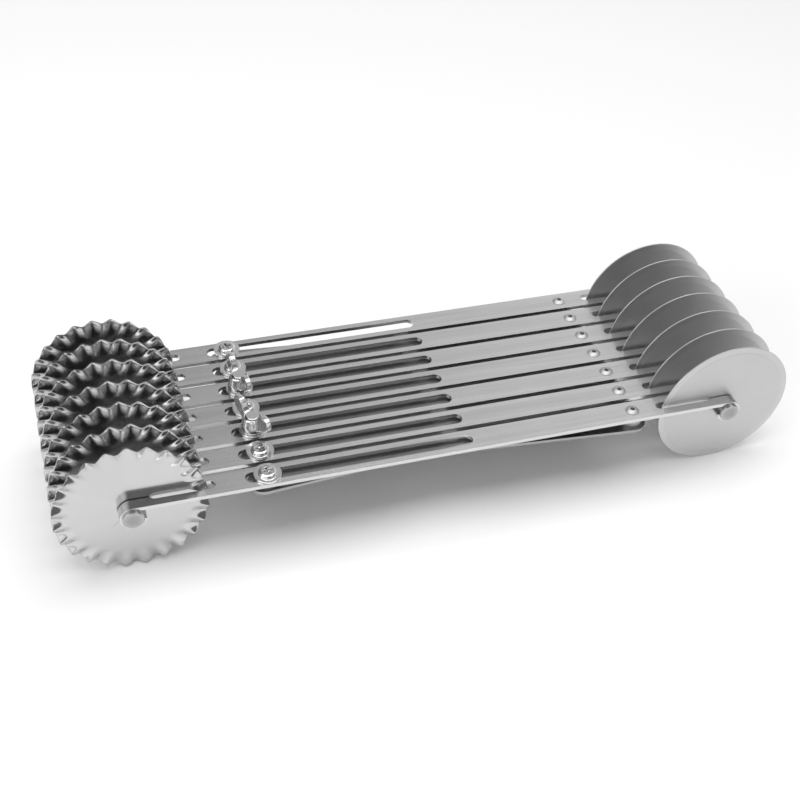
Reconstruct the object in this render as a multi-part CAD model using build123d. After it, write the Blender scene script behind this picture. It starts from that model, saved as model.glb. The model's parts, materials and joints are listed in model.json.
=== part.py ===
from build123d import *
import os
from math import acos, cos, degrees, hypot, radians, sin

# Expanding dough divider: parallel arms with a fluted cutting wheel at one end and a plain
# one at the other, held by a lazy-tongs of crossed links.
# Frame: +X along the arms towards the plain wheels, +Y towards arm 1, +Z up. The origin is on
# the surface that the wheels stand on, under the middle of the closed tool.

# Driving dimensions, in millimetres.
arm_count = 7
root_arm = 4                    # the arm in the middle, which the others move away from
axle_spacing = 230.0            # fluted axle to plain axle
arm_width = 10.0
arm_thickness = 1.5
link_tail = 1.5                 # extra length beyond a link's screw hole
link_thickness = 1.2
plain_wheel_radius = 27.5
fluted_wheel_radius = 27.0      # pressing the flutes draws the rim in
plain_wheel_thickness = 0.9
plain_bevel_width = 2.6         # ground band round the plain wheel's edge
plain_edge_thickness = 0.5
fluted_sheet_thickness = 0.8
flute_count = 24
flute_length = 6.0              # radial length of the flutes
flute_depth = 3.2               # across the wheel, crest to crest
flute_crest_angle = 3.0         # degrees that a crest or a trough stays level
axle_pin_diameter = 6.4
pin_head_diameter = 7.6
pin_head_height = 1.2
pin_tail_diameter = 7.0
pin_tail_height = 0.5
knuckle_wrap = 260.0            # degrees that an arm's end is rolled round its pin
rivet_diameter = 4.0
rivet_head_diameter = 5.4
rivet_head_height = 1.0
rivet_dimple_diameter = 1.8
rivet_dimple_depth = 0.6
cross_head_diameter = 6.4       # countersunk head of the rivet where two links cross
rivet_from_plain_axle = 40.0
screw_from_fluted_axle = 48.0   # in the closed tool
guide_slot_lead = 8.0           # slot end beyond the closed screw
guide_slot_length = 85.0
sleeve_diameter = 5.0           # outside of the barrel nut that slides in the guide slot
thread_diameter = 3.0
screw_head_diameter = 6.8
screw_head_height = 1.2
screw_head_round = 1.1
recess_length = 3.4
recess_width = 0.9
recess_depth = 0.9
recess_turn = 15.0              # degrees from one screw's recess to the next, as tightened
washer_thickness = 0.9
flange_diameter = 8.0           # low foot of a barrel nut or a wing bolt, under the links
flange_height = 0.9
spacer_diameter = 8.0
spacer_thickness = 1.1          # between the two layers of links
arm_spacer_thickness = 1.0      # between an arm and the upper link
wing_arms = (3, 5)              # the arms that a wing nut locks
wing_angles = {3: 101.0, 5: 114.0}
wing_nut_base_diameter = 8.4
wing_nut_base_height = 2.4
wing_nut_hub_diameter = 7.0
wing_nut_hub_height = 6.0
wing_span = 21.0
wing_height = 10.4
wing_thickness = 1.9
wing_root_height = 1.4
wing_root_length = 1.6          # how far a wing stays as low as its root
wing_lift = 3.6                 # keeps a wing above the screws of the neighbouring arms
wing_tip_height = 4.4           # straight outer edge of a wing
wing_top_length = 4.0
wing_corner_radius = 1.6
bolt_end_above_hub = 0.6

# Fits and clearances.
running_fit = 0.05              # radial, between a pin and what turns on it
face_gap = 0.05                 # between flat faces that slide on each other
slide_fit = 0.1                 # radial, between a slide screw and its slot
wheel_side_gap = 0.3            # each side of a wheel in its fork
plain_fork_relief = 1.3         # each side of a plain wheel in the wide part of its fork
fork_end_gap = 2.5              # from a wheel's edge to the end of its fork
fork_neck_length = 6.5          # from an axle to where its fork widens
closed_gap = 0.3                # between the pins of neighbouring arms
link_side_gap = 0.6             # between neighbouring links of the closed tool
nut_fit = 0.05                  # radial, between a bolt and its wing nut
slot_end_margin = 0.2           # slide screw to slot end in the open tool
cross_head_land = 0.1           # of a link's thickness, left under its countersunk head
wing_bolt_gap = 0.3             # between a wing's root and the bore for the bolt

# Worked-out places.
closed_pitch = arm_width + pin_head_height + pin_tail_height + closed_gap
link_width = closed_pitch - link_side_gap
cross_head_depth = link_thickness - cross_head_land
washer_diameter = arm_width     # a slide screw's washer is as wide as its arm
middle_y = (pin_head_height - pin_tail_height) / 2
pin_radius = axle_pin_diameter / 2
knuckle_radius = pin_radius + arm_thickness
axle_z = max(plain_wheel_radius, fluted_wheel_radius)
fluted_x = -axle_spacing / 2
plain_x = axle_spacing / 2
rivet_x = plain_x - rivet_from_plain_axle
screw_x = fluted_x + screw_from_fluted_axle
cross_x = (rivet_x + screw_x) / 2
arm_top = axle_z + knuckle_radius
arm_bottom = arm_top - arm_thickness
upper_top = arm_bottom - face_gap - arm_spacer_thickness - face_gap
upper_bottom = upper_top - link_thickness
lower_top = upper_bottom - face_gap - spacer_thickness - face_gap
lower_bottom = lower_top - link_thickness
link_length = hypot(rivet_x - screw_x, closed_pitch)
guide_slot_width = sleeve_diameter + 2 * slide_fit
guide_slot_start = screw_x - guide_slot_lead
guide_slot_end = guide_slot_start + guide_slot_length
flute_rise = (flute_depth - fluted_sheet_thickness) / 2
fluted_fork_width = flute_depth + 2 * wheel_side_gap
plain_fork_width = plain_wheel_thickness + 2 * plain_fork_relief
screw_x_open = guide_slot_end - guide_slot_width / 2 - slide_fit - slot_end_margin
closed_angle = degrees(acos((rivet_x - screw_x) / link_length))
open_angle = degrees(acos((rivet_x - screw_x_open) / link_length))
open_pitch = link_length * sin(radians(open_angle))


def arm_y(number):
    return middle_y + (root_arm - number) * closed_pitch


def disc(x, y, low, high, radius):
    """An upright cylinder between two heights."""
    return Pos(x, y, (low + high) / 2) * Cylinder(radius, high - low)


def tube(x, y, low, high, outer, inner):
    return disc(x, y, low, high, outer) - disc(x, y, low, high, inner)


def cross_cylinder(x, y, radius, length):
    """A cylinder along Y at axle height."""
    return Pos(x, y, axle_z) * Rot(90, 0, 0) * Cylinder(radius, length)


def knuckle(x, start_angle):
    """The arm's end, rolled down round the axle pin."""
    sleeve = Cylinder(knuckle_radius, arm_width, arc_size=knuckle_wrap)
    sleeve = Rot(0, 0, start_angle) * sleeve - Cylinder(pin_radius, arm_width)
    return Pos(x, 0, axle_z) * Rot(90, 0, 0) * sleeve


def fork_cut(x, inward, wheel_radius, neck_width, width):
    """Room for a wheel: a narrow neck at the axle and a wider slot with round ends."""
    deep = 2 * knuckle_radius + arm_thickness
    near = fork_neck_length
    far = wheel_radius + fork_end_gap
    neck_end = near + width / 2
    neck = Pos(x + inward * (neck_end - knuckle_radius) / 2, 0, axle_z)
    neck = neck * Box(neck_end + knuckle_radius, neck_width, deep)
    neck = Pos(-inward * face_gap, 0, 0) * neck
    slot = Pos(x + inward * (near + far) / 2, 0, arm_bottom - arm_thickness)
    slot = slot * extrude(SlotOverall(far - near, width), 3 * arm_thickness)
    return neck + slot


def arm(number):
    strip = Pos(0, 0, arm_top - arm_thickness / 2) * Box(axle_spacing, arm_width, arm_thickness)
    body = strip + knuckle(fluted_x, 90) + knuckle(plain_x, 90 - knuckle_wrap)
    fluted_neck = fluted_sheet_thickness + 2 * wheel_side_gap
    plain_neck = plain_wheel_thickness + 2 * wheel_side_gap
    body -= fork_cut(fluted_x, 1, fluted_wheel_radius, fluted_neck, fluted_fork_width)
    body -= fork_cut(plain_x, -1, plain_wheel_radius, plain_neck, plain_fork_width)
    guide = Pos((guide_slot_start + guide_slot_end) / 2, 0, arm_bottom - arm_thickness)
    body -= guide * extrude(SlotOverall(guide_slot_length, guide_slot_width), 3 * arm_thickness)
    clearance = 0 if number == root_arm else running_fit
    hole_radius = rivet_diameter / 2 + clearance
    body -= disc(rivet_x, 0, arm_bottom - arm_thickness, arm_top + arm_thickness, hole_radius)
    return Pos(0, arm_y(number), 0) * body


def axle_pin(x, y):
    """A headed pin with its tail peened over, through both prongs of a fork."""
    front = y - arm_width / 2
    back = y + arm_width / 2
    shank = cross_cylinder(x, y, pin_radius, arm_width)
    head = cross_cylinder(x, front - pin_head_height / 2, pin_head_diameter / 2, pin_head_height)
    tail = cross_cylinder(x, back + pin_tail_height / 2, pin_tail_diameter / 2, pin_tail_height)
    return shank + head + tail


def plain_wheel(x, y):
    half = plain_wheel_thickness / 2
    edge = plain_edge_thickness / 2
    shoulder = plain_wheel_radius - plain_bevel_width
    bore = pin_radius + running_fit
    corners = [(bore, -half), (shoulder, -half), (plain_wheel_radius, -edge)]
    corners += [(plain_wheel_radius, edge), (shoulder, half), (bore, half)]
    profile = Plane.XZ * make_face(Polyline(*corners, close=True))
    return Pos(x, y, axle_z) * Rot(90, 0, 0) * revolve(profile, Axis.Z)


def wave_angles():
    """Angles round the wheel where a level stretch of a flute starts or ends, with its side."""
    period = 360 / flute_count
    half_crest = flute_crest_angle / 2
    lines = []
    for flute in range(flute_count):
        middle = flute * period - 90 + half_crest
        lines.append((middle - half_crest, 1))
        lines.append((middle + half_crest, 1))
        lines.append((middle + period / 2 - half_crest, -1))
        lines.append((middle + period / 2 + half_crest, -1))
    return lines


def fluted_wheel_blank():
    """A pressed sheet wheel about the Y axis: a flat disc whose edge rises to both sides."""
    inner = fluted_wheel_radius - flute_length
    lines = wave_angles()

    def point(radius, angle, side):
        return Vector(radius * cos(radians(angle)), side, radius * sin(radians(angle)))

    def facet(*corners):
        return Face(Wire.make_polygon(corners, close=True))

    faces = []
    rims = []
    for offset in (-fluted_sheet_thickness / 2, fluted_sheet_thickness / 2):
        roots = [point(inner, angle, offset) for angle, side in lines]
        rim = [point(fluted_wheel_radius, a, offset + side * flute_rise) for a, side in lines]
        rims.append(rim)
        faces.append(facet(*roots))
        for i in range(len(lines)):
            j = (i + 1) % len(lines)
            if lines[i][1] == lines[j][1]:
                faces.append(facet(roots[i], rim[i], rim[j], roots[j]))
            else:
                faces.append(facet(roots[i], rim[i], rim[j]))
                faces.append(facet(roots[i], rim[j], roots[j]))
    for i in range(len(lines)):
        j = (i + 1) % len(lines)
        faces.append(facet(rims[0][i], rims[0][j], rims[1][j], rims[1][i]))
    blank = Solid(Shell(faces))
    bore = Rot(90, 0, 0) * Cylinder(pin_radius + running_fit, flute_depth)
    return blank - bore


def rivet_dome(x, y, base):
    """A low domed head with a dimple in its top."""
    half = rivet_head_diameter / 2
    ball = (half * half + rivet_head_height * rivet_head_height) / (2 * rivet_head_height)
    dome = Pos(x, y, base + rivet_head_height - ball) * Sphere(ball)
    dome &= disc(x, y, base, base + rivet_head_height, half)
    top = base + rivet_head_height
    return dome - disc(x, y, top - rivet_dimple_depth, top, rivet_dimple_diameter / 2)


def spacers(x, y, has_upper, has_lower, radius):
    """Spacers above the upper link and between the links; one long one where a link is absent."""
    outer = spacer_diameter / 2
    if has_upper and has_lower:
        spans = [(upper_top, arm_bottom), (lower_top, upper_bottom)]
    elif has_upper:
        spans = [(upper_top, arm_bottom)]
    else:
        spans = [(lower_top, arm_bottom)]
    return [tube(x, y, low + face_gap, high - face_gap, outer, radius) for low, high in spans]


def pivot_rivet(number):
    """The rivet that joins an arm to the links under it, with the spacers on it."""
    y = arm_y(number)
    radius = rivet_diameter / 2
    foot_top = (lower_bottom if number > 1 else upper_bottom) - face_gap
    foot_bottom = foot_top - rivet_head_height
    shank = disc(rivet_x, y, foot_bottom, arm_top + face_gap, radius)
    foot = disc(rivet_x, y, foot_bottom, foot_top, rivet_head_diameter / 2)
    rivet = shank + foot + rivet_dome(rivet_x, y, arm_top + face_gap)
    return [rivet] + spacers(rivet_x, y, number < arm_count, number > 1, radius)


def cross_rivet(front_arm):
    """The countersunk rivet where the two links of a cell cross, with its spacer."""
    y = arm_y(front_arm) + closed_pitch / 2
    radius = rivet_diameter / 2
    foot_top = lower_bottom - face_gap
    foot_bottom = foot_top - rivet_head_height
    shank = disc(cross_x, y, foot_bottom, upper_top, radius)
    foot = disc(cross_x, y, foot_bottom, foot_top, rivet_head_diameter / 2)
    head = cross_head(y, 0)
    low = lower_top + face_gap
    spacer = tube(cross_x, y, low, low + spacer_thickness, spacer_diameter / 2, radius)
    return [shank + foot + head, spacer]


def cross_head(y, clearance):
    """The countersunk head, or with a clearance the recess that it turns in."""
    small = rivet_diameter / 2 + clearance
    cone = Cone(small, cross_head_diameter / 2 + clearance, cross_head_depth)
    return Pos(cross_x, y, upper_top - cross_head_depth / 2) * cone


def link(front_arm, layer):
    """A flat link of the cell between front_arm and the arm behind it.

    The upper layer runs from the front arm's screw to the rear arm's rivet, and the lower
    layer from the rear arm's screw to the front arm's rivet.
    """
    is_upper = layer == "upper"
    front_cell = front_arm > root_arm
    top = upper_top if is_upper else lower_top
    low = top - link_thickness
    y = arm_y(front_arm) + closed_pitch / 2
    turn = closed_angle if is_upper else -closed_angle
    bar = extrude(SlotCenterToCenter(link_length + link_tail, link_width), link_thickness)
    bar = Pos(cross_x, y, low) * Rot(0, 0, turn) * Pos(-link_tail / 2, 0, 0) * bar
    screw_y = arm_y(front_arm) if is_upper else arm_y(front_arm - 1)
    rivet_y = arm_y(front_arm - 1) if is_upper else arm_y(front_arm)
    holds_rivets = is_upper != front_cell
    holds_screw = is_upper or front_arm == 2
    rivet_radius = rivet_diameter / 2 + (0 if holds_rivets else running_fit)
    screw_radius = sleeve_diameter / 2 + (0 if holds_screw else running_fit)
    bar -= disc(rivet_x, rivet_y, low - link_thickness, top + link_thickness, rivet_radius)
    bar -= disc(cross_x, y, low - link_thickness, top + link_thickness, rivet_radius)
    bar -= disc(screw_x, screw_y, low - link_thickness, top + link_thickness, screw_radius)
    if is_upper:
        bar -= cross_head(y, 0 if holds_rivets else running_fit)
    return bar


def slide_foot(number):
    """Where the flange under the links has its top, at an arm's guide slot."""
    return (lower_bottom if number < arm_count else upper_bottom) - face_gap


def slide_stack(number):
    """The washer on an arm's guide slot, and the spacers on the sleeve or bolt below it."""
    y = arm_y(number)
    low = arm_top + face_gap
    washer = tube(screw_x, y, low, low + washer_thickness, washer_diameter / 2, sleeve_diameter / 2)
    return [washer] + spacers(screw_x, y, number > 1, number < arm_count, sleeve_diameter / 2)


def slide_screw(number):
    """A pan-head screw in a flanged barrel nut, through the guide slot and the links."""
    y = arm_y(number)
    foot_top = slide_foot(number)
    head_base = arm_top + face_gap + washer_thickness
    head_top = head_base + screw_head_height
    head = disc(screw_x, y, head_base, head_top, screw_head_diameter / 2)
    head = fillet(head.edges().sort_by(Axis.Z)[-1:], screw_head_round)
    recess = Box(recess_length, recess_width, recess_depth)
    recess += Box(recess_width, recess_length, recess_depth)
    turn = Rot(0, 0, recess_turn * number)
    head -= Pos(screw_x, y, head_top - recess_depth / 2) * turn * recess
    screw = head + disc(screw_x, y, foot_top, head_base, thread_diameter / 2)
    sleeve = disc(screw_x, y, foot_top, head_base, sleeve_diameter / 2)
    sleeve += disc(screw_x, y, foot_top - flange_height, foot_top, flange_diameter / 2)
    sleeve -= disc(screw_x, y, foot_top, head_base, thread_diameter / 2)
    return [screw, sleeve] + slide_stack(number)


def wing_bolt(number):
    """A low-headed bolt up through the links and the guide slot, for a wing nut."""
    y = arm_y(number)
    foot_top = slide_foot(number)
    seat = arm_top + face_gap + washer_thickness
    end = seat + wing_nut_hub_height + bolt_end_above_hub
    bolt = disc(screw_x, y, foot_top, end, sleeve_diameter / 2)
    bolt += disc(screw_x, y, foot_top - flange_height, foot_top, flange_diameter / 2)
    return [bolt] + slide_stack(number)


def wing_profile():
    """One wing seen from the side: it rises away from the hub to a tall round tip."""
    tip = wing_span / 2
    root = sleeve_diameter / 2 + nut_fit + wing_bolt_gap
    corners = [(root, wing_root_height), (root + wing_root_length, wing_root_height)]
    corners += [(tip - wing_top_length, wing_lift), (tip, wing_height - wing_tip_height)]
    corners += [(tip, wing_height), (tip - wing_top_length, wing_height)]
    corners.append((root, wing_nut_hub_height))
    wing = make_face(Polyline(*corners, close=True))
    outer = wing.vertices().sort_by(Axis.X)[-2:]
    return fillet(outer, wing_corner_radius)


def wing_nut(number):
    y = arm_y(number)
    seat = arm_top + face_gap + washer_thickness + face_gap
    base = disc(0, 0, 0, wing_nut_base_height, wing_nut_base_diameter / 2)
    hub_height = wing_nut_hub_height - wing_nut_base_height
    hub = Cone(wing_nut_base_diameter / 2, wing_nut_hub_diameter / 2, hub_height)
    nut = base + Pos(0, 0, wing_nut_base_height + hub_height / 2) * hub
    blade = extrude(Plane.XZ * wing_profile(), wing_thickness / 2, both=True)
    nut += blade
    nut += Rot(0, 0, 180) * blade
    nut -= disc(0, 0, 0, wing_nut_hub_height, sleeve_diameter / 2 + nut_fit)
    return Pos(screw_x, y, seat) * Rot(0, 0, wing_angles[number]) * nut


def save(name, solids):
    shape = solids if not isinstance(solids, list) else Compound(children=solids)
    export_step(shape, f"parts/{name}.step")


def main():
    for old in os.listdir("parts"):
        os.remove(f"parts/{old}")
    fluted_wheel = fluted_wheel_blank()
    for number in range(1, arm_count + 1):
        y = arm_y(number)
        save(f"arm_{number}", arm(number))
        save(f"axle_pins_{number}", [axle_pin(fluted_x, y), axle_pin(plain_x, y)])
        save(f"plain_wheel_{number}", plain_wheel(plain_x, y))
        save(f"fluted_wheel_{number}", Pos(fluted_x, y, axle_z) * fluted_wheel)
        if number in wing_arms:
            save(f"wing_bolt_{number}", wing_bolt(number))
            save(f"wing_nut_{number}", wing_nut(number))
        else:
            save(f"slide_screw_{number}", slide_screw(number))
    save(f"pivot_rivet_{root_arm}", pivot_rivet(root_arm))
    for front_arm in range(2, arm_count + 1):
        cell = f"{front_arm - 1}_{front_arm}"
        outer_arm = front_arm if front_arm > root_arm else front_arm - 1
        save(f"upper_link_{cell}", link(front_arm, "upper"))
        save(f"lower_link_{cell}", link(front_arm, "lower"))
        save(f"link_rivets_{cell}", cross_rivet(front_arm) + pivot_rivet(outer_arm))
    print("pitch closed", round(closed_pitch, 2), "open", round(open_pitch, 2))
    print("link angle closed", round(closed_angle, 3), "open", round(open_angle, 3))
    print("link swing", round(open_angle - closed_angle, 3))


os.makedirs("parts", exist_ok=True)
main()
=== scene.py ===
import json
import math

import bmesh
import bpy
from mathutils import Matrix, Vector


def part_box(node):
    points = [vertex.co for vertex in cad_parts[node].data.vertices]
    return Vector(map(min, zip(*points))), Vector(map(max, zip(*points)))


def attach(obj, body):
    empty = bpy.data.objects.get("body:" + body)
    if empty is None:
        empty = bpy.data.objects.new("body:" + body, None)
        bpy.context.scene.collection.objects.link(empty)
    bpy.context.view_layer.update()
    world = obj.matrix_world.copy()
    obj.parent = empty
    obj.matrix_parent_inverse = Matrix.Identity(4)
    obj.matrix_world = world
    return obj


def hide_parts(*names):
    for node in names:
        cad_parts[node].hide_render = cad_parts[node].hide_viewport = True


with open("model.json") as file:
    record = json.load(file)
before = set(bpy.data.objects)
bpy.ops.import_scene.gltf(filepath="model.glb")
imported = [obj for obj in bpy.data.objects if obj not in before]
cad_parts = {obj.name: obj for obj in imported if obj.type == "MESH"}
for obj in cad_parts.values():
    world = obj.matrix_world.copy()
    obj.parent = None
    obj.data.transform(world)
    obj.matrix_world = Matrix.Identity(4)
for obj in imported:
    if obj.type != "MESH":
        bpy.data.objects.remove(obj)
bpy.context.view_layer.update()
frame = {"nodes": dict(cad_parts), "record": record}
scene = bpy.context.scene
nodes = frame["nodes"]
behaviour = frame["record"]["behaviour"]
bodyOfNode = {node: body for body, members in behaviour["bodies"].items() for node in members}
armNumbers = range(1, 1 + sum(name.startswith("arm_") for name in nodes))
print("frame:", len(nodes), "nodes,", len(armNumbers), "arms")

# Shapes are made in millimetres and turned to metres when a piece is finished.
millimetre = 0.001
alongY = Vector((0, 1, 0))
alongZ = Vector((0, 0, 1))


# Camera and studio

camera = {
    "aim": (-0.0018, 0.0127, 0.0127),
    "azimuth": -20.1,      # degrees round the object, 0 looks along +Y
    "elevation": 40.8,
    "roll": 4.1,
    "distance": 0.5028,
    "lens": 56.07,
    "sensorWidth": 36,
    "nearClip": 0.01,
}

studio = {
    "floorTone": 0.94,
    "floorSize": 6.0,
    "floorRoughness": 0.9,
    "floorShine": 0.1,
    "brightSide": (0.8, 0.6, 0.0),   # the way the backdrop gets lighter
    "skyReach": (0.24, 0.90),
    "skyTones": (0.15, 0.83),
    "softboxes": {
        # name: place, size across and up, watts
        "topSoftbox": ((0.00, 0.05, 1.40), (1.7, 1.2), 19.0),
        "leftSoftbox": ((-1.10, -0.35, 0.60), (0.7, 0.7), 3.8),
        "frontRightSoftbox": ((0.75, -1.00, 0.95), (0.6, 0.5), 1.2),
        "frontLeftSoftbox": ((-0.70, -1.00, 0.45), (0.9, 0.8), 2.2),
    },
}


def placeCamera(values):
    azimuth = math.radians(values["azimuth"])
    elevation = math.radians(values["elevation"])
    back = Vector((math.sin(azimuth) * math.cos(elevation),
                   -math.cos(azimuth) * math.cos(elevation),
                   math.sin(elevation)))
    right = Vector((math.cos(azimuth), math.sin(azimuth), 0))
    turn = Matrix.Rotation(math.radians(values["roll"]), 3, back)
    right = turn @ right
    up = back.cross(right)
    data = bpy.data.cameras.new("camera")
    data.lens = values["lens"]
    data.sensor_width = values["sensorWidth"]
    data.clip_start = values["nearClip"]
    thing = bpy.data.objects.new("camera", data)
    axes = Matrix((right, up, back)).transposed().to_4x4()
    thing.matrix_world = Matrix.Translation(Vector(values["aim"]) + back * values["distance"]) @ axes
    scene.collection.objects.link(thing)
    scene.camera = thing


def lightStudio(values):
    for name, (place, size, watts) in values["softboxes"].items():
        data = bpy.data.lights.new(name, "AREA")
        data.shape = "RECTANGLE"
        data.size, data.size_y = size
        data.energy = watts
        lamp = bpy.data.objects.new(name, data)
        lamp.location = place
        lamp.rotation_mode = "QUATERNION"
        lamp.rotation_quaternion = Vector(place).to_track_quat("Z", "Y")
        scene.collection.objects.link(lamp)
    world = bpy.data.worlds.new("studioWorld")
    scene.world = world
    world.use_nodes = True
    tree = world.node_tree
    coords = tree.nodes.new("ShaderNodeTexCoord")
    along = tree.nodes.new("ShaderNodeVectorMath")
    along.operation = "DOT_PRODUCT"
    along.inputs[1].default_value = values["brightSide"]
    ramp = tree.nodes.new("ShaderNodeMapRange")
    ramp.interpolation_type = "SMOOTHSTEP"
    ramp.inputs["From Min"].default_value, ramp.inputs["From Max"].default_value = values["skyReach"]
    ramp.inputs["To Min"].default_value, ramp.inputs["To Max"].default_value = values["skyTones"]
    tree.links.new(coords.outputs["Generated"], along.inputs[0])
    tree.links.new(along.outputs["Value"], ramp.inputs["Value"])
    tree.links.new(ramp.outputs["Result"], tree.nodes["Background"].inputs["Color"])
    scene.view_settings.view_transform = "Standard"


def layFloor(values):
    bm = bmesh.new()
    bmesh.ops.create_grid(bm, x_segments=1, y_segments=1, size=values["floorSize"] / 2)
    mesh = bpy.data.meshes.new("floor")
    bm.to_mesh(mesh)
    bm.free()
    floor = bpy.data.objects.new("floor", mesh)
    material = bpy.data.materials.new("paleFloor")
    material.use_nodes = True
    shader = material.node_tree.nodes["Principled BSDF"]
    shader.inputs["Base Color"].default_value = (values["floorTone"],) * 3 + (1,)
    shader.inputs["Roughness"].default_value = values["floorRoughness"]
    shader.inputs["Specular IOR Level"].default_value = values["floorShine"]
    mesh.materials.append(material)
    scene.collection.objects.link(floor)


placeCamera(camera)
lightStudio(studio)
layFloor(studio)
print("camera, lights and floor are set")


# Finishes

def newGroup(name, numbers, outputs):
    # A shader node group whose inputs are plain numbers with their usual values.
    group = bpy.data.node_groups.new(name, "ShaderNodeTree")
    for label, value in numbers.items():
        socket = group.interface.new_socket(label, in_out="INPUT", socket_type="NodeSocketFloat")
        socket.default_value = value
    for label, kind in outputs.items():
        group.interface.new_socket(label, in_out="OUTPUT", socket_type=kind)
    return group, group.nodes.new("NodeGroupInput"), group.nodes.new("NodeGroupOutput")


def math2(tree, operation, first, second):
    node = tree.nodes.new("ShaderNodeMath")
    node.operation = operation
    for socket, value in zip(node.inputs, (first, second)):
        if isinstance(value, (int, float)):
            socket.default_value = value
        else:
            tree.links.new(value, socket)
    return node.outputs[0]


def centred(tree, value, spread):
    # A mask from 0 to 1 becomes a swing of half the spread to each side of 0.
    return math2(tree, "MULTIPLY", math2(tree, "SUBTRACT", value, 0.5), spread)


def addMasked(tree, value, mask, amount):
    # Moves a value by the amount where the mask is 1.
    return math2(tree, "ADD", value, math2(tree, "MULTIPLY", mask, amount))


def noise(tree, vector, scale, detail, roughness=0.6):
    node = tree.nodes.new("ShaderNodeTexNoise")
    node.inputs["Scale"].default_value = scale
    node.inputs["Detail"].default_value = detail
    node.inputs["Roughness"].default_value = roughness
    tree.links.new(vector, node.inputs["Vector"])
    return node.outputs["Fac"]


def stretched(tree, vector, x, y, z):
    combine = tree.nodes.new("ShaderNodeCombineXYZ")
    for socket, value in zip(combine.inputs, (x, y, z)):
        if isinstance(value, (int, float)):
            socket.default_value = value
        else:
            tree.links.new(value, socket)
    multiply = tree.nodes.new("ShaderNodeVectorMath")
    multiply.operation = "MULTIPLY"
    tree.links.new(vector, multiply.inputs[0])
    tree.links.new(combine.outputs[0], multiply.inputs[1])
    return multiply.outputs[0]


def makeBrushedGrain():
    # Fine lines along X, as strip steel leaves the rollers, with long soft streaks between them.
    group, given, out = newGroup(
        "brushedGrain",
        {"Lines per Metre": 1500, "Run": 25, "Streaks per Metre": 260},
        {"Lines": "NodeSocketFloat", "Streaks": "NodeSocketFloat"})
    coords = group.nodes.new("ShaderNodeTexCoord").outputs["Object"]
    lineDensity = given.outputs["Lines per Metre"]
    streakDensity = given.outputs["Streaks per Metre"]
    run = given.outputs["Run"]
    linePlace = stretched(group, coords, run, lineDensity, lineDensity)
    lines = noise(group, linePlace, scale=1, detail=4, roughness=0.7)
    streakRun = 0.35   # as a share of the lines' run
    shortRun = math2(group, "MULTIPLY", run, streakRun)
    streakPlace = stretched(group, coords, shortRun, streakDensity, streakDensity)
    streaks = noise(group, streakPlace, scale=1, detail=2)
    group.links.new(lines, out.inputs["Lines"])
    group.links.new(streaks, out.inputs["Streaks"])
    return group


def makeTurnedGrain():
    # Fine rings about an axle that runs along Y, sectors that catch the light together,
    # and a mask of the ground band outside a radius.
    hubFade = 0.004        # keeps the sectors from meeting in a point at the axle
    sectorShift = 60       # per metre along the axle, so that each wheel has its own sectors
    bandBlur = 0.00025
    group, given, out = newGroup(
        "turnedGrain",
        {"Axle X": 0, "Axle Z": 0, "Rings per Metre": 1800, "Band Radius": 1},
        {"Rings": "NodeSocketFloat", "Sectors": "NodeSocketFloat", "Band": "NodeSocketFloat"})
    coords = group.nodes.new("ShaderNodeTexCoord").outputs["Object"]
    split = group.nodes.new("ShaderNodeSeparateXYZ")
    group.links.new(coords, split.inputs[0])
    dx = math2(group, "SUBTRACT", split.outputs["X"], given.outputs["Axle X"])
    dz = math2(group, "SUBTRACT", split.outputs["Z"], given.outputs["Axle Z"])
    squares = math2(group, "ADD", math2(group, "MULTIPLY", dx, dx), math2(group, "MULTIPLY", dz, dz))
    radius = math2(group, "SQRT", squares, 0)
    ringPlace = group.nodes.new("ShaderNodeCombineXYZ")
    group.links.new(math2(group, "MULTIPLY", radius, given.outputs["Rings per Metre"]), ringPlace.inputs[0])
    rings = noise(group, ringPlace.outputs[0], scale=1, detail=4, roughness=0.7)
    sectorPlace = group.nodes.new("ShaderNodeCombineXYZ")
    away = math2(group, "ADD", radius, hubFade)
    group.links.new(math2(group, "DIVIDE", dx, away), sectorPlace.inputs[0])
    group.links.new(math2(group, "DIVIDE", dz, away), sectorPlace.inputs[1])
    group.links.new(math2(group, "MULTIPLY", split.outputs["Y"], sectorShift), sectorPlace.inputs[2])
    sectors = noise(group, sectorPlace.outputs[0], scale=1.6, detail=2)
    group.links.new(rings, out.inputs["Rings"])
    past = math2(group, "SUBTRACT", radius, given.outputs["Band Radius"])
    band = group.nodes.new("ShaderNodeMapRange")
    band.inputs["From Max"].default_value = bandBlur
    group.links.new(past, band.inputs["Value"])
    group.links.new(band.outputs["Result"], out.inputs["Band"])
    group.links.new(sectors, out.inputs["Sectors"])
    return group


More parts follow.
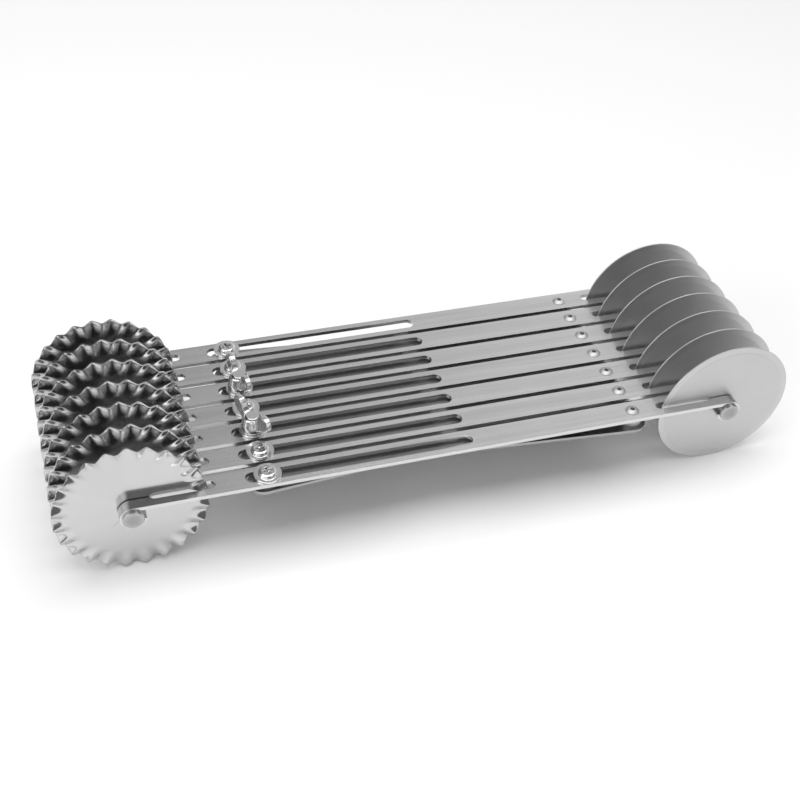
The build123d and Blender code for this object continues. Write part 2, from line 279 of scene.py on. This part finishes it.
def makeHandling():
    # Cloudy patches from washing and handling, and sparse fine scratches that wander about Y.
    bendsPerMetre = 70
    bend = 0.012           # how far a scratch wanders
    length = 0.06          # scratch density along a scratch, as a share of that across it
    scratchRange = (0.70, 0.74)
    group, given, out = newGroup(
        "handling",
        {"Patches per Metre": 45, "Scratches per Metre": 420},
        {"Patches": "NodeSocketFloat", "Scratches": "NodeSocketFloat"})
    coords = group.nodes.new("ShaderNodeTexCoord").outputs["Object"]
    patchDensity = given.outputs["Patches per Metre"]
    patchPlace = stretched(group, coords, patchDensity, patchDensity, patchDensity)
    patches = noise(group, patchPlace, scale=1, detail=4)
    warp = group.nodes.new("ShaderNodeTexNoise")
    warp.inputs["Scale"].default_value = bendsPerMetre
    group.links.new(coords, warp.inputs["Vector"])
    swirl = group.nodes.new("ShaderNodeVectorMath")
    swirl.operation = "MULTIPLY_ADD"
    swirl.inputs[1].default_value = (bend,) * 3
    group.links.new(warp.outputs["Color"], swirl.inputs[0])
    group.links.new(coords, swirl.inputs[2])
    scratchDensity = given.outputs["Scratches per Metre"]
    slow = math2(group, "MULTIPLY", scratchDensity, length)
    thinPlace = stretched(group, swirl.outputs[0], scratchDensity, slow, scratchDensity)
    thin = noise(group, thinPlace, scale=1, detail=1)
    line = group.nodes.new("ShaderNodeMapRange")
    line.inputs["From Min"].default_value, line.inputs["From Max"].default_value = scratchRange
    group.links.new(thin, line.inputs["Value"])
    group.links.new(patches, out.inputs["Patches"])
    group.links.new(line.outputs["Result"], out.inputs["Scratches"])
    return group


def makeEdgeLightRecessShade():
    # Masks of the rounded edges and of the recesses: the finishes paint highlights along the edges and
    # shade in the recesses.
    group, given, out = newGroup(
        "edgeLightRecessShade", {"Start": 0.51, "Full": 0.58, "Recess Start": 0.49, "Recess Full": 0.42},
        {"Mask": "NodeSocketFloat", "Recess": "NodeSocketFloat"})
    geometry = group.nodes.new("ShaderNodeNewGeometry")
    reach = group.nodes.new("ShaderNodeMapRange")
    group.links.new(geometry.outputs["Pointiness"], reach.inputs["Value"])
    group.links.new(given.outputs["Start"], reach.inputs["From Min"])
    group.links.new(given.outputs["Full"], reach.inputs["From Max"])
    group.links.new(reach.outputs["Result"], out.inputs["Mask"])
    sink = group.nodes.new("ShaderNodeMapRange")
    group.links.new(geometry.outputs["Pointiness"], sink.inputs["Value"])
    group.links.new(given.outputs["Recess Start"], sink.inputs["From Min"])
    group.links.new(given.outputs["Recess Full"], sink.inputs["From Max"])
    group.links.new(sink.outputs["Result"], out.inputs["Recess"])
    return group


groups = {
    "brushedGrain": makeBrushedGrain(),
    "turnedGrain": makeTurnedGrain(),
    "handling": makeHandling(),
    "edgeLightRecessShade": makeEdgeLightRecessShade(),
}

darkestTone = 0.05
bumpDistance = 0.0002

finishes = {
    # tone: the metal's grey. The swings are how far each pattern moves the tone or the roughness.
    # edgeTone and the recess tone are added at edges and in recesses, so below 0 they darken them. Above 0
    # the edge tone is a painted highlight along the rounded edges; the recess tone is painted shade.
    "armSteel": {
        "tone": 0.62, "roughness": 0.25, "grain": "brushedGrain", "grainTone": 0.10, "grainRough": 0.14,
        "grainBump": 0.10, "patchTone": 0.05, "patchRough": 0.05, "scratchRough": 0.015, "edgeTone": 0.08,
    },
    # The links' low tone is painted shade: they are the arms' strip steel, darkened where they lie in
    # shadow under the arms.
    "shadedLinkSteel": {
        "tone": 0.34, "roughness": 0.30, "grain": "brushedGrain", "grainTone": 0.10, "grainRough": 0.14,
        "grainBump": 0.10, "patchTone": 0.06, "patchRough": 0.06, "scratchRough": 0.015, "edgeTone": 0.08,
    },
    "plainWheelSteel": {
        "tone": 0.60, "roughness": 0.45, "grain": "turnedGrain", "grainTone": 0.07, "grainRough": 0.08,
        "grainBump": 0.10, "patchTone": 0.05, "patchRough": 0.05, "scratchRough": 0.0, "edgeTone": 0.0,
        "axle": "plain_wheel_1", "bandRadius": 0.0249, "bandTone": 0.02, "bandRough": -0.03,
    },
    "flutedWheelSteel": {
        "tone": 0.60, "roughness": 0.16, "grain": "turnedGrain", "grainTone": 0.07, "grainRough": 0.05,
        "grainBump": 0.04, "patchTone": 0.06, "patchRough": 0.05, "scratchRough": 0.0, "edgeTone": -0.25,
        "axle": "fluted_wheel_1",
    },
    "pinSteel": {
        "tone": 0.34, "roughness": 0.28, "grain": "turnedGrain", "grainTone": 0.06, "grainRough": 0.08,
        "grainBump": 0.06, "patchTone": 0.06, "patchRough": 0.08, "scratchRough": 0.0, "edgeTone": 0.20,
    },
    "rivetSteel": {
        "tone": 0.54, "roughness": 0.55, "grain": "handling", "grainTone": 0.04, "grainRough": 0.04,
        "grainBump": 0.03, "patchTone": 0.06, "patchRough": 0.06, "scratchRough": 0.02, "edgeTone": 0.10,
    },
    # The rivet dimple's dark tone is painted shade in the hollow.
    "dimpleShadeSteel": {
        "tone": 0.16, "roughness": 0.60, "grain": "handling", "grainTone": 0.06, "grainRough": 0.04,
        "grainBump": 0.06, "patchTone": 0.06, "patchRough": 0.06, "scratchRough": 0.02, "edgeTone": 0.0,
    },
    # The screws' recess tone is painted shade in the cross recess, and their edge tone is a painted
    # highlight.
    "screwNickel": {
        "tone": 0.72, "roughness": 0.16, "grain": "handling", "grainTone": 0.04, "grainRough": 0.04,
        "grainBump": 0.03, "patchTone": 0.07, "patchRough": 0.06, "scratchRough": 0.02, "edgeTone": 0.12,
        "recessShadeTone": -0.45,
    },
    "wingNickel": {
        "tone": 0.72, "roughness": 0.24, "grain": "handling", "grainTone": 0.05, "grainRough": 0.06,
        "grainBump": 0.10, "patchTone": 0.08, "patchRough": 0.08, "scratchRough": 0.02, "edgeTone": 0.10,
    },
}


def useGroup(tree, name, values=()):
    node = tree.nodes.new("ShaderNodeGroup")
    node.node_tree = groups[name]
    for label, value in dict(values).items():
        node.inputs[label].default_value = value
    return node


def makeFinish(name, values):
    material = bpy.data.materials.new(name)
    material.use_nodes = True
    tree = material.node_tree
    shader = tree.nodes["Principled BSDF"]
    shader.inputs["Metallic"].default_value = 1.0
    handling = useGroup(tree, "handling")
    if values["grain"] == "brushedGrain":
        grain = useGroup(tree, "brushedGrain")
        fine, broad = grain.outputs["Lines"], grain.outputs["Streaks"]
    elif values["grain"] == "turnedGrain":
        place = {}
        if "axle" in values:
            low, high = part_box(values["axle"])
            place = {"Axle X": (low[0] + high[0]) / 2, "Axle Z": (low[2] + high[2]) / 2}
        if "bandRadius" in values:
            place["Band Radius"] = values["bandRadius"]
        grain = useGroup(tree, "turnedGrain", place)
        fine, broad = grain.outputs["Rings"], grain.outputs["Sectors"]
    else:
        fine, broad = handling.outputs["Patches"], handling.outputs["Scratches"]
    patches = handling.outputs["Patches"]
    scratches = handling.outputs["Scratches"]
    tone = math2(tree, "ADD", centred(tree, fine, values["grainTone"]), values["tone"])
    tone = math2(tree, "ADD", tone, centred(tree, broad, values["grainTone"]))
    tone = math2(tree, "ADD", tone, centred(tree, patches, values["patchTone"]))
    # Painted highlight along the rounded edges (it darkens them where the edge tone is below 0), and
    # painted shade in recesses, kept above the darkest tone.
    if values["edgeTone"]:
        edges = useGroup(tree, "edgeLightRecessShade")
        tone = addMasked(tree, tone, edges.outputs["Mask"], values["edgeTone"])
        if "recessShadeTone" in values:
            tone = addMasked(tree, tone, edges.outputs["Recess"], values["recessShadeTone"])
            tone = math2(tree, "MAXIMUM", tone, darkestTone)
    if "bandRadius" in values:
        tone = addMasked(tree, tone, grain.outputs["Band"], values["bandTone"])
    colour = tree.nodes.new("ShaderNodeCombineColor")
    for socket in colour.inputs:
        tree.links.new(tone, socket)
    tree.links.new(colour.outputs[0], shader.inputs["Base Color"])
    rough = math2(tree, "ADD", centred(tree, broad, values["grainRough"]), values["roughness"])
    rough = math2(tree, "ADD", rough, centred(tree, patches, values["patchRough"]))
    rough = addMasked(tree, rough, scratches, values["scratchRough"])
    if "bandRadius" in values:
        rough = addMasked(tree, rough, grain.outputs["Band"], values["bandRough"])
    tree.links.new(rough, shader.inputs["Roughness"])
    bump = tree.nodes.new("ShaderNodeBump")
    bump.inputs["Strength"].default_value = values["grainBump"]
    bump.inputs["Distance"].default_value = bumpDistance
    tree.links.new(fine, bump.inputs["Height"])
    tree.links.new(bump.outputs["Normal"], shader.inputs["Normal"])
    return material


materials = {name: makeFinish(name, values) for name, values in finishes.items()}
print("finishes:", ", ".join(materials))


# Making and finishing pieces

weldDistance = 0.0005   # turned shapes meet their own start within this


def boxOf(node):
    low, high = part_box(node)
    return Vector(low) / millimetre, Vector(high) / millimetre


def centreOf(node):
    low, high = boxOf(node)
    return (low + high) / 2


def lathe(outline, axis, steps):
    # Turns an outline of (radius, height) points about the axis. It is closed if no end is on the axis.
    bm = bmesh.new()
    across = Vector((1, 0, 0))
    verts = [bm.verts.new(across * radius + axis * height) for radius, height in outline]
    edges = [bm.edges.new(pair) for pair in zip(verts, verts[1:])]
    if outline[0][0] > 0:
        edges.append(bm.edges.new((verts[-1], verts[0])))
    bmesh.ops.spin(bm, geom=verts + edges, cent=(0, 0, 0), axis=axis, angle=math.tau,
                   steps=steps, use_merge=True)
    bmesh.ops.remove_doubles(bm, verts=bm.verts, dist=weldDistance)
    bmesh.ops.recalc_face_normals(bm, faces=bm.faces)
    return bm


def joined(parts):
    # Puts several solids, each with its own place, into one mesh.
    whole = bmesh.new()
    for bm, place in parts:
        bmesh.ops.transform(bm, matrix=place, verts=bm.verts)
        scrap = bpy.data.meshes.new("scrap")
        bm.to_mesh(scrap)
        bm.free()
        whole.from_mesh(scrap)
        bpy.data.meshes.remove(scrap)
    return whole


def bevelSharp(bm, width, segments, sharpAngle):
    sharp = [edge for edge in bm.edges
             if edge.is_manifold and edge.calc_face_angle() > math.radians(sharpAngle)]
    bmesh.ops.bevel(bm, geom=sharp, offset=width, offset_type="OFFSET", segments=segments,
                    profile=0.5, affect="EDGES", clamp_overlap=True, material=-1)


def finishPiece(bm, name, node, material, smoothAngle=40):
    bmesh.ops.scale(bm, vec=(millimetre,) * 3, verts=bm.verts)
    mesh = bpy.data.meshes.new(name)
    bm.to_mesh(mesh)
    bm.free()
    mesh.shade_smooth()
    mesh.set_sharp_from_angle(angle=math.radians(smoothAngle))
    mesh.materials.append(materials[material])
    piece = bpy.data.objects.new(name, mesh)
    scene.collection.objects.link(piece)
    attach(piece, bodyOfNode[node])
    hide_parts(node)
    return piece


# Strip and small parts keep the shape they were designed with and get rounded edges.

softEdges = {
    # start of the node's name: edge radius, material
    "arm_": (0.14, "armSteel"),
    "upper_link_": (0.14, "shadedLinkSteel"),
    "lower_link_": (0.14, "shadedLinkSteel"),
    "link_rivets_": (0.10, "rivetSteel"),
    "pivot_rivet_": (0.10, "rivetSteel"),
    "slide_screw_": (0.12, "screwNickel"),
    "wing_bolt_": (0.12, "screwNickel"),
}

softening = {"weld": 0.001, "flatAngle": 0.5, "segments": 2, "sharpAngle": 35}

rivetDimple = {
    "depth": 0.50,    # of the flat dimple in the design, below its rim
    "radius": 0.9,
    "point": 0.15,    # share of the radius that the point keeps
    "drawn": 0.7,     # how far the point is drawn down
    "slack": 0.03,    # in finding the flat bottom's height
    "reach": 0.05,    # and its radius
}


def pointDimple(bm, node, values):
    # Draws the flat bottom of a rivet's dimple in to a cone, as a setting punch leaves it, and gives its
    # faces the second material, a dark one that is painted shade in the hollow.
    bottom = boxOf(node)[1].z - values["depth"]
    rings = [vert for vert in bm.verts if abs(vert.co.z - bottom) < values["slack"]]
    middle = sum((vert.co for vert in rings), Vector()) / len(rings)
    reach = values["radius"] + values["reach"]
    ring = [vert for vert in rings if (vert.co - middle).length < reach]
    bmesh.ops.scale(bm, vec=(values["point"], values["point"], 1), verts=ring,
                    space=Matrix.Translation(-middle))
    bmesh.ops.translate(bm, vec=alongZ * -values["drawn"], verts=ring)
    for vert in ring:
        for face in vert.link_faces:
            face.material_index = 1


def softenNode(node, width, material):
    bm = bmesh.new()
    bm.from_mesh(nodes[node].data)
    bmesh.ops.scale(bm, vec=(1 / millimetre,) * 3, verts=bm.verts)
    bmesh.ops.remove_doubles(bm, verts=bm.verts, dist=softening["weld"])
    flat = math.radians(softening["flatAngle"])
    bmesh.ops.dissolve_limit(bm, angle_limit=flat, verts=bm.verts, edges=bm.edges)
    if "rivet" in node:
        pointDimple(bm, node, rivetDimple)
    bevelSharp(bm, width, softening["segments"], softening["sharpAngle"])
    piece = finishPiece(bm, "steel_" + node, node, material)
    # The dimple takes a second, dark material: painted shade in the hollow.
    if "rivet" in node:
        piece.data.materials.append(materials["dimpleShadeSteel"])
    weighted = piece.modifiers.new("weightedNormals", "WEIGHTED_NORMAL")
    weighted.keep_sharp = True


for node in sorted(nodes):
    for start, (width, material) in softEdges.items():
        if node.startswith(start):
            softenNode(node, width, material)
print("strips, links and fasteners are rounded")


# Fluted wheels

flutedWheel = {
    "boreRadius": 3.25,
    "fluteLength": 6.2,
    "flutes": 24,
    "stepsPerFlute": 16,
    "discRings": (6, 12),     # radii of the rings in the flat part
    "rootRings": (1.5, 0.5),  # rings that lead in to the flutes' root
    "fluteRings": 9,
    "climb": 1.15,            # above 1 the flutes start gently
    "sheet": 0.8,
    "ridgeSharpness": 0.88,   # 0 is a sine wave, 1 has sharp ridges
    "edgeRound": 0.10,
    "edgeAngle": 60,
    "turns": (0, 4, 9, 2, 7, 12, 5),   # degrees each wheel is turned from the first
}


def fluteWave(angle, values):
    # A triangle wave from -1 to 1 with rounded crests.
    sharpness = values["ridgeSharpness"]
    return math.asin(sharpness * math.sin(values["flutes"] * angle)) / math.asin(sharpness)


def makeFlutedWheel(number, values):
    node = f"fluted_wheel_{number}"
    low, high = boxOf(node)
    edge = (high.z - low.z) / 2
    rise = (high.y - low.y - values["sheet"]) / 2
    root = edge - values["fluteLength"]
    bm = bmesh.new()
    rings = values["fluteRings"]
    radii = [values["boreRadius"], *values["discRings"]]
    radii += [root - lead for lead in values["rootRings"]]
    radii += [root + values["fluteLength"] * step / rings for step in range(rings + 1)]
    verts = [bm.verts.new((radius, 0, 0)) for radius in radii]
    edges = [bm.edges.new(pair) for pair in zip(verts, verts[1:])]
    bmesh.ops.spin(bm, geom=verts + edges, cent=(0, 0, 0), axis=alongY, angle=math.tau,
                   steps=values["flutes"] * values["stepsPerFlute"], use_merge=True)
    bmesh.ops.remove_doubles(bm, verts=bm.verts, dist=weldDistance)
    for vert in bm.verts:
        reach = (math.hypot(vert.co.x, vert.co.z) - root) / values["fluteLength"]
        climb = max(0.0, reach) ** values["climb"]
        vert.co.y = rise * climb * fluteWave(math.atan2(vert.co.z, vert.co.x), values)
        vert.co.y -= values["sheet"] / 2
    back = bmesh.ops.extrude_face_region(bm, geom=bm.faces[:])["geom"]
    backVerts = [item for item in back if isinstance(item, bmesh.types.BMVert)]
    bmesh.ops.translate(bm, vec=alongY * values["sheet"], verts=backVerts)
    bmesh.ops.recalc_face_normals(bm, faces=bm.faces)
    bevelSharp(bm, values["edgeRound"], segments=2, sharpAngle=values["edgeAngle"])
    turn = Matrix.Rotation(math.radians(values["turns"][number - 1]), 4, alongY)
    bmesh.ops.transform(bm, matrix=Matrix.Translation(centreOf(node)) @ turn, verts=bm.verts)
    finishPiece(bm, f"flutedWheel{number}", node, "flutedWheelSteel", smoothAngle=50)


for number in armNumbers:
    makeFlutedWheel(number, flutedWheel)
print("fluted wheels are pressed")


# Plain wheels

plainWheel = {
    "boreRadius": 3.25,
    "bevelWidth": 2.6,
    "edgeThickness": 0.5,
    "boreRound": 0.15,
    "shoulderRound": 0.1,     # each side of the bevel's shoulder
    "shoulderDrop": 0.06,
    "edgeRound": 0.12,
    "edgeRise": 0.02,
    "steps": 192,
}


def makePlainWheel(number, values):
    node = f"plain_wheel_{number}"
    low, high = boxOf(node)
    edge = (high.z - low.z) / 2
    half = (high.y - low.y) / 2
    rim = values["edgeThickness"] / 2
    shoulder = edge - values["bevelWidth"]
    bore = values["boreRadius"]
    soft = values["boreRound"]
    side = [(bore + soft, half), (bore + 2 * soft, half), (edge / 3, half), (edge * 2 / 3, half)]
    blend = values["shoulderRound"]
    side += [(shoulder - blend, half), (shoulder + blend, half - values["shoulderDrop"])]
    side += [(edge - values["edgeRound"], rim + values["edgeRise"]), (edge, rim * 0.5)]
    mirrored = [(radius, -height) for radius, height in reversed(side)]
    outline = side + mirrored + [(bore, -half + soft), (bore, half - soft)]
    bm = lathe(outline, alongY, values["steps"])
    bmesh.ops.translate(bm, vec=centreOf(node), verts=bm.verts)
    finishPiece(bm, f"plainWheel{number}", node, "plainWheelSteel", smoothAngle=8)


for number in armNumbers:
    makePlainWheel(number, plainWheel)
print("plain wheels are turned")


# Axle pins

axlePin = {
    "shankRadius": 3.2,
    "headRadius": 3.8,
    "headHeight": 1.2,
    "tailRadius": 3.5,
    "tailHeight": 0.5,
    "chamfer": 0.28,
    "dome": 0.12,
    "domeMiddle": 0.03,       # how far the head has fallen at half its radius
    "headRound": 0.06,
    "tailUnder": 0.1,         # the peened tail is narrower where it meets the arm
    "tailBulge": 0.15,        # height of its widest ring
    "tailCrown": (0.35, 0.04),
    "steps": 64,
}


def makeAxlePins(number, values):
    node = f"axle_pins_{number}"
    low, high = boxOf(node)
    front = low.y + values["headHeight"]
    back = high.y - values["tailHeight"]
    soft = values["chamfer"]
    head = values["headRadius"]
    tail = values["tailRadius"]
    under = values["headRound"]
    crownIn, crownDown = values["tailCrown"]
    outline = [(0, low.y), (head * 0.5, low.y + values["domeMiddle"])]
    outline += [(head - soft, low.y + values["dome"]), (head, low.y + values["dome"] + soft)]
    outline += [(head, front - under), (head - under, front)]
    outline += [(values["shankRadius"], front), (values["shankRadius"], back)]
    outline += [(tail - values["tailUnder"], back), (tail, back + values["tailBulge"])]
    outline += [(tail - crownIn, high.y - crownDown), (0, high.y)]
    parts = []
    for wheel in ("fluted", "plain"):
        axle = centreOf(f"{wheel}_wheel_{number}")
        place = Matrix.Translation((axle.x, 0, axle.z))
        parts.append((lathe(outline, alongY, values["steps"]), place))
    finishPiece(joined(parts), f"axlePins{number}", node, "pinSteel", smoothAngle=30)


for number in armNumbers:
    makeAxlePins(number, axlePin)
print("axle pins are turned")


# Wing nuts

wingNut = {
    "boreRadius": 2.7,
    "baseRadius": 4.2,
    "baseHeight": 2.3,
    "hubRadius": 3.5,
    "hubHeight": 6.0,
    "hubTaper": 0.1,        # wider than its radius below the rounded top
    "hubRound": (0.4, 0.5),
    "chamfer": 0.3,
    "bladeAtHub": 2.8,      # thickness of a wing
    "bladeAtTip": 1.9,
    "grain": 0.22,          # voxel that melts the wings into the hub
    "smoothing": 9,
    "angles": {3: 101.0, 5: 114.0},
}


def wingBlade(values):
    # An upright blade that rises from the hub to a tall round lobe and thins towards its tip.
    outline = [(3.1, 1.2), (4.0, 1.5), (6.2, 3.4), (8.8, 4.5), (10.0, 5.9), (10.3, 8.0), (9.7, 9.8)]
    outline += [(8.3, 10.3), (6.2, 10.2), (4.9, 9.2), (4.2, 7.2), (3.4, 6.0), (3.1, 5.5)]
    root = outline[0][0]
    reach = max(x for x, z in outline) - root
    taper = values["bladeAtTip"] - values["bladeAtHub"]
    bm = bmesh.new()
    verts = [bm.verts.new((x, -0.5, z)) for x, z in outline]
    blade = bm.faces.new(verts)
    grown = bmesh.ops.extrude_face_region(bm, geom=[blade])["geom"]
    top = [item for item in grown if isinstance(item, bmesh.types.BMVert)]
    bmesh.ops.translate(bm, vec=alongY, verts=top)
    bmesh.ops.recalc_face_normals(bm, faces=bm.faces)
    for vert in bm.verts:
        vert.co.y *= values["bladeAtHub"] + taper * (vert.co.x - root) / reach
    return bm


def makeWingNut(number, values):
    node = f"wing_nut_{number}"
    low, high = boxOf(node)
    height = values["hubHeight"]
    bore = values["boreRadius"]
    base = values["baseRadius"]
    radius = values["hubRadius"]
    cut = values["chamfer"]
    roundIn, roundDown = values["hubRound"]
    hub = [(bore, cut), (bore + cut, 0), (base - cut, 0), (base, cut), (base, values["baseHeight"])]
    hub += [(radius + values["hubTaper"], height - roundDown), (radius - roundIn, height)]
    hub += [(bore + cut, height), (bore, height - cut)]
    place = Matrix.Translation((centreOf(node).x, centreOf(node).y, low.z))
    place = place @ Matrix.Rotation(math.radians(values["angles"][number]), 4, "Z")
    parts = [(lathe(hub, alongZ, steps=64), Matrix.Identity(4))]
    parts += [(wingBlade(values), Matrix.Rotation(turn, 4, "Z")) for turn in (0, math.pi)]
    rough = joined(parts)
    mesh = bpy.data.meshes.new("roughNut")
    rough.to_mesh(mesh)
    rough.free()
    casting = bpy.data.objects.new("roughNut", mesh)
    scene.collection.objects.link(casting)
    melt = casting.modifiers.new("melt", "REMESH")
    melt.mode = "VOXEL"
    melt.voxel_size = values["grain"]
    smooth = casting.modifiers.new("smooth", "SMOOTH")
    smooth.factor = 0.5
    smooth.iterations = values["smoothing"]
    graph = bpy.context.evaluated_depsgraph_get()
    bm = bmesh.new()
    bm.from_object(casting, graph)
    bpy.data.objects.remove(casting)
    bmesh.ops.transform(bm, matrix=place, verts=bm.verts)
    finishPiece(bm, f"wingNut{number}", node, "wingNickel", smoothAngle=80)


for number in wingNut["angles"]:
    makeWingNut(number, wingNut)
print("wing nuts are cast")
